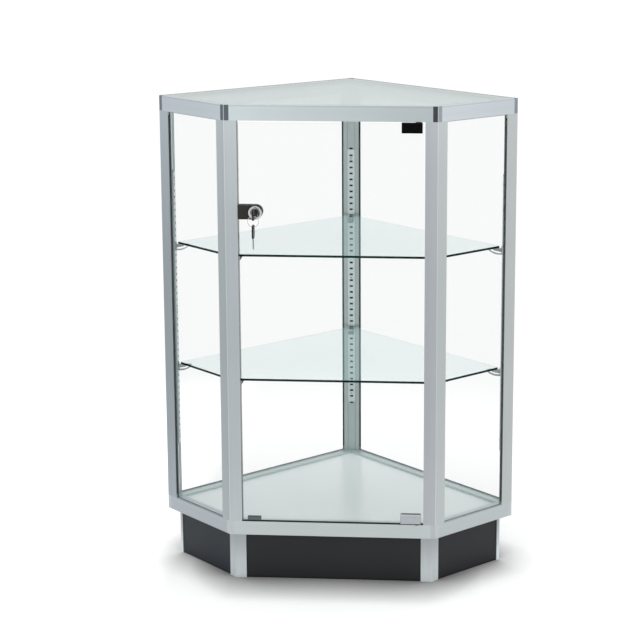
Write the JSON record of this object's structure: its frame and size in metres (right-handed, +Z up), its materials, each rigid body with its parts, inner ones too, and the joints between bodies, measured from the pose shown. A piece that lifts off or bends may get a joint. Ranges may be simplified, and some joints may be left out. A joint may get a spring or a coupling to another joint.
{
  "type": "corner curio cabinet",
  "caption": "Corner curio cabinet: aluminium-framed glass case with a hinged glass door and key lock, clip-held glass shelves and a black kick base.",
  "frame": {"origin": "on the floor, under the middle of the whole object's box", "axes": "+Z up; the door faces -Y; the right-angled back corner points to +Y; +X to the viewer's right"},
  "size_m": [0.7172, 0.5559, 0.9652],
  "materials": {
    "frame": "satin anodised extrusion",
    "cast_corner": "dark grey satin casting",
    "cast_corner_light": "satin casting",
    "case_glass": "clear polished, faint green",
    "shelf_glass": "clear polished, dark green cut edge",
    "gasket": "matte black",
    "deck": "white laminate on board",
    "kick": "black laminate on board",
    "base_trim": "satin anodised angle",
    "standard": "zinc plated",
    "clip": "zinc plated",
    "cushion": "translucent soft pad",
    "small_screw": "plated",
    "nylon": "black moulded nylon",
    "magnet": "dark sintered",
    "upper_clamp": "black satin",
    "lower_clamp": "satin nickel",
    "pad": "black clamp pad",
    "pin": "ground",
    "strike": "dark grey satin",
    "lock_body": "dark satin casting",
    "lock_chrome": "bright",
    "bolt": "machined",
    "key_metal": "nickel silver",
    "key_plastic": "black moulded"
  },
  "bodies": {
    "cabinet": {"post_left": "frame", "post_front_left": "frame", "post_front_right": "frame", "post_right": "frame", "post_back": "frame", "top_rail_left_return": "frame", "top_rail_front": "frame", "top_rail_right_return": "frame", "top_rail_right_back": "frame", "top_rail_left_back": "frame", "bottom_rail_left_return": "frame", "bottom_rail_front": "frame", "bottom_rail_right_return": "frame", "bottom_rail_right_back": "frame", "bottom_rail_left_back": "frame", "top_corner_connectors": "cast_corner", "bottom_corner_connectors": "cast_corner_light", "top_glass": "case_glass", "glass_left_return": "case_glass", "glass_right_return": "case_glass", "glass_right_back": "case_glass", "glass_left_back": "case_glass", "wall_gaskets": "gasket", "slot_fillers": "gasket", "deck_panel": "deck", "base_posts": "base_trim", "kick_panel_left_return": "kick", "kick_panel_front": "kick", "kick_panel_right_return": "kick", "kick_panel_right_back": "kick", "kick_panel_left_back": "kick", "shelf_standards": "standard", "lower_shelf_clips": "clip", "upper_shelf_clips": "clip", "clip_cushions": "cushion", "standard_screws": "small_screw", "pivot_bushes": "nylon", "catch_body": "nylon", "catch_magnet": "magnet"},
    "door": {"door_glass": "case_glass", "upper_hinge_clamp": "upper_clamp", "lower_hinge_clamp": "lower_clamp", "hinge_pads": "pad", "hinge_screws": "small_screw", "hinge_pins": "pin", "strike_clip": "strike", "lock_case": "lock_body", "lock_pads": "pad", "lock_cover": "lock_body", "lock_cover_screws": "small_screw", "lock_barrel": "lock_chrome"},
    "lower_shelf": {"lower_shelf": "shelf_glass"},
    "upper_shelf": {"upper_shelf": "shelf_glass"},
    "lock_plug": {"lock_plug": "lock_chrome"},
    "lock_bolt": {"lock_bolt": "bolt"},
    "key": {"key_blade": "key_metal", "key_grip": "key_plastic"},
    "key_ring": {"key_ring": "lock_chrome"},
    "spare_key": {"spare_key_blade": "key_metal", "spare_key_grip": "key_plastic"}
  },
  "joints": [
    {"name": "door_swing", "type": "hinge", "parent": "cabinet", "child": "door", "pos_m": [0.16897, -0.22972, 0.53], "axis": [0, 0, 1], "range_deg": [0, 105]},
    {"name": "lower_shelf_lift", "type": "slide", "parent": "cabinet", "child": "lower_shelf", "axis": [0, 0, 1], "range_m": [0, 0.03]},
    {"name": "upper_shelf_lift", "type": "slide", "parent": "cabinet", "child": "upper_shelf", "axis": [0, 0, 1], "range_m": [0, 0.03]},
    {"name": "lock_turn", "type": "hinge", "parent": "door", "child": "lock_plug", "pos_m": [-0.14718, -0.23372, 0.7565], "axis": [0, 1, 0], "range_deg": [0, 90]},
    {"name": "bolt_slide", "type": "slide", "parent": "door", "child": "lock_bolt", "axis": [-1, 0, 0], "range_m": [0, 0.008]},
    {"name": "key_slide", "type": "slide", "parent": "lock_plug", "child": "key", "axis": [0, -1, 0], "range_m": [0, 0.024]},
    {"name": "ring_swing", "type": "hinge", "parent": "key", "child": "key_ring", "pos_m": [-0.14718, -0.26772, 0.7549], "axis": [1, 0, 0], "range_deg": [-25, 10]},
    {"name": "spare_swing", "type": "hinge", "parent": "key_ring", "child": "spare_key", "pos_m": [-0.14718, -0.26772, 0.7337], "axis": [1, 0, 0], "range_deg": [-25, 10]}
  ],
  "couplings": [
    {"joint": "bolt_slide", "follows": "lock_turn", "m_per_rad": 0.005093}
  ]
}
